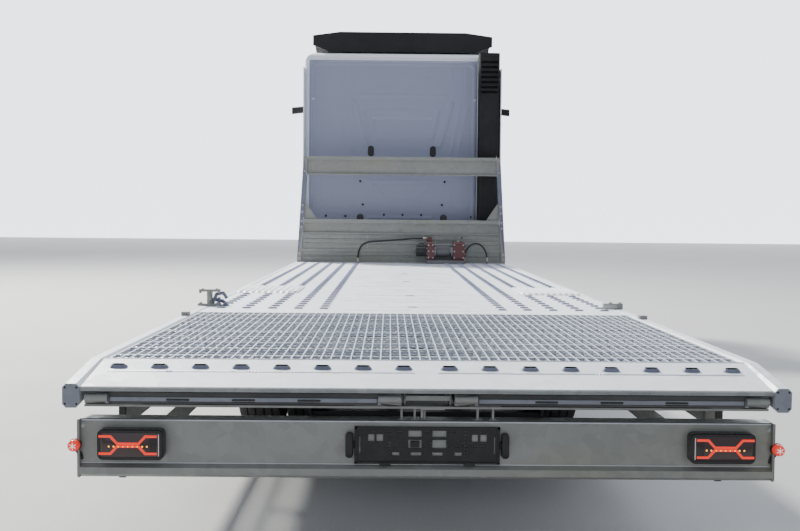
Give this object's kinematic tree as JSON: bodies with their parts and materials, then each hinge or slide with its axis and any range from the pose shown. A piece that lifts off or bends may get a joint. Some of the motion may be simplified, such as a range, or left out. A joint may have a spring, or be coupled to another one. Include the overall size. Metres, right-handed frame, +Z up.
{
  "type": "car transporter truck",
  "caption": "Cab-over car transporter with a galvanised flat bed, stowed slide-out ramps, headboard with winch and a hollow tilting cab with doors.",
  "frame": {"origin": "on the road under the middle of the vehicle's box", "axes": "+Y forward, +X the vehicle's right side, +Z up"},
  "size_m": [3.04, 11.23, 3.832],
  "materials": {
    "galvanised": "hot-dip galvanised",
    "frame_paint": "satin",
    "engine_iron": "rough",
    "cab_paint": "gloss",
    "bumper_plastic": "grained",
    "lamp_lens": "gloss",
    "headlamp_lens": "gloss",
    "clear_glass": "clear",
    "tank_alloy": "satin",
    "box_plastic": "grained",
    "seat_cloth": "woven",
    "winch_paint": "gloss",
    "drum_steel": "satin",
    "hose_rubber": "matt",
    "rim_paint": "satin",
    "tyre_rubber": "matt"
  },
  "bodies": {
    "chassis": {"chassis_frame": "frame_paint", "bed_frame": "galvanised", "ramp_guides": "galvanised", "side_rails": "galvanised", "bed_deck": "galvanised", "rear_grating": "galvanised", "tail_plate": "galvanised", "headboard": "galvanised", "winch": "winch_paint", "hose_left": "hose_rubber", "hose_right": "hose_rubber", "light_board": "galvanised", "rear_lamps": "lamp_lens", "plate_holder": "bumper_plastic", "side_clamps": "galvanised", "side_guards": "galvanised", "rear_mudguards": "bumper_plastic", "front_mudguards": "bumper_plastic", "fuel_tank": "tank_alloy", "side_boxes": "box_plastic", "front_axle": "frame_paint", "rear_axle": "frame_paint", "engine_block": "engine_iron", "driveline": "frame_paint", "front_bumper": "bumper_plastic", "front_beam": "frame_paint", "tow_sockets": "frame_paint", "headlamps": "headlamp_lens"},
    "cab": {"cab_shell": "cab_paint", "cab_grille": "bumper_plastic", "windscreen": "clear_glass", "roof_spoiler": "bumper_plastic", "air_intake": "bumper_plastic", "mirror_cams": "bumper_plastic", "seats": "seat_cloth", "dashboard": "bumper_plastic"},
    "left_door": {"door_left": "cab_paint", "door_glass_left": "clear_glass"},
    "right_door": {"door_right": "cab_paint", "door_glass_right": "clear_glass"},
    "left_knuckle": {"knuckle_left": "frame_paint"},
    "right_knuckle": {"knuckle_right": "frame_paint"},
    "tie_rod": {"track_rod": "frame_paint"},
    "wheel_front_left": {"rim_front_left": "rim_paint", "tyre_front_left": "tyre_rubber"},
    "wheel_front_right": {"rim_front_right": "rim_paint", "tyre_front_right": "tyre_rubber"},
    "wheel_rear_left": {"rim_rear_left": "rim_paint", "tyre_rear_left": "tyre_rubber"},
    "wheel_rear_right": {"rim_rear_right": "rim_paint", "tyre_rear_right": "tyre_rubber"},
    "left_ramp": {"ramp_left": "galvanised"},
    "right_ramp": {"ramp_right": "galvanised"},
    "drum": {"winch_drum": "drum_steel"}
  },
  "joints": [
    {"name": "cab_tilt", "type": "hinge", "parent": "chassis", "child": "cab", "pos_m": [0, 5.5, 0.69], "axis": [-1, 0, 0], "range_deg": [0, 60]},
    {"name": "left_door_hinge", "type": "hinge", "parent": "cab", "child": "left_door", "pos_m": [-1.216, 5.153, 1.9], "axis": [0, 0, -1], "range_deg": [0, 70]},
    {"name": "right_door_hinge", "type": "hinge", "parent": "cab", "child": "right_door", "pos_m": [1.216, 5.153, 1.9], "axis": [0, 0, 1], "range_deg": [0, 70]},
    {"name": "steer_left", "type": "hinge", "parent": "chassis", "child": "left_knuckle", "pos_m": [-0.885, 4.215, 0.475], "axis": [0, 0, 1], "range_deg": [-40, 40]},
    {"name": "steer_right", "type": "hinge", "parent": "chassis", "child": "right_knuckle", "pos_m": [0.885, 4.215, 0.475], "axis": [0, 0, 1], "range_deg": [-40, 40]},
    {"name": "tie_rod_slide", "type": "slide", "parent": "chassis", "child": "tie_rod", "axis": [1, 0, 0], "range_m": [-0.115, 0.115]},
    {"name": "spin_front_left", "type": "hinge", "parent": "left_knuckle", "child": "wheel_front_left", "pos_m": [-1.04, 4.215, 0.475], "axis": [-1, 0, 0], "continuous": true},
    {"name": "spin_front_right", "type": "hinge", "parent": "right_knuckle", "child": "wheel_front_right", "pos_m": [1.04, 4.215, 0.475], "axis": [-1, 0, 0], "continuous": true},
    {"name": "spin_rear_left", "type": "hinge", "parent": "chassis", "child": "wheel_rear_left", "pos_m": [-0.9, -1.615, 0.475], "axis": [-1, 0, 0], "continuous": true},
    {"name": "spin_rear_right", "type": "hinge", "parent": "chassis", "child": "wheel_rear_right", "pos_m": [0.9, -1.615, 0.475], "axis": [-1, 0, 0], "continuous": true},
    {"name": "left_ramp_slide", "type": "slide", "parent": "chassis", "child": "left_ramp", "axis": [0, -1, 0], "range_m": [0, 2.1]},
    {"name": "right_ramp_slide", "type": "slide", "parent": "chassis", "child": "right_ramp", "axis": [0, -1, 0], "range_m": [0, 2.1]},
    {"name": "drum_spin", "type": "hinge", "parent": "chassis", "child": "drum", "pos_m": [0.493, 2.715, 1.15], "axis": [1, 0, 0], "continuous": true}
  ],
  "couplings": [
    {"joint": "steer_right", "follows": "steer_left", "ratio": 1},
    {"joint": "tie_rod_slide", "follows": "steer_left", "m_per_rad": 0.1565}
  ]
}
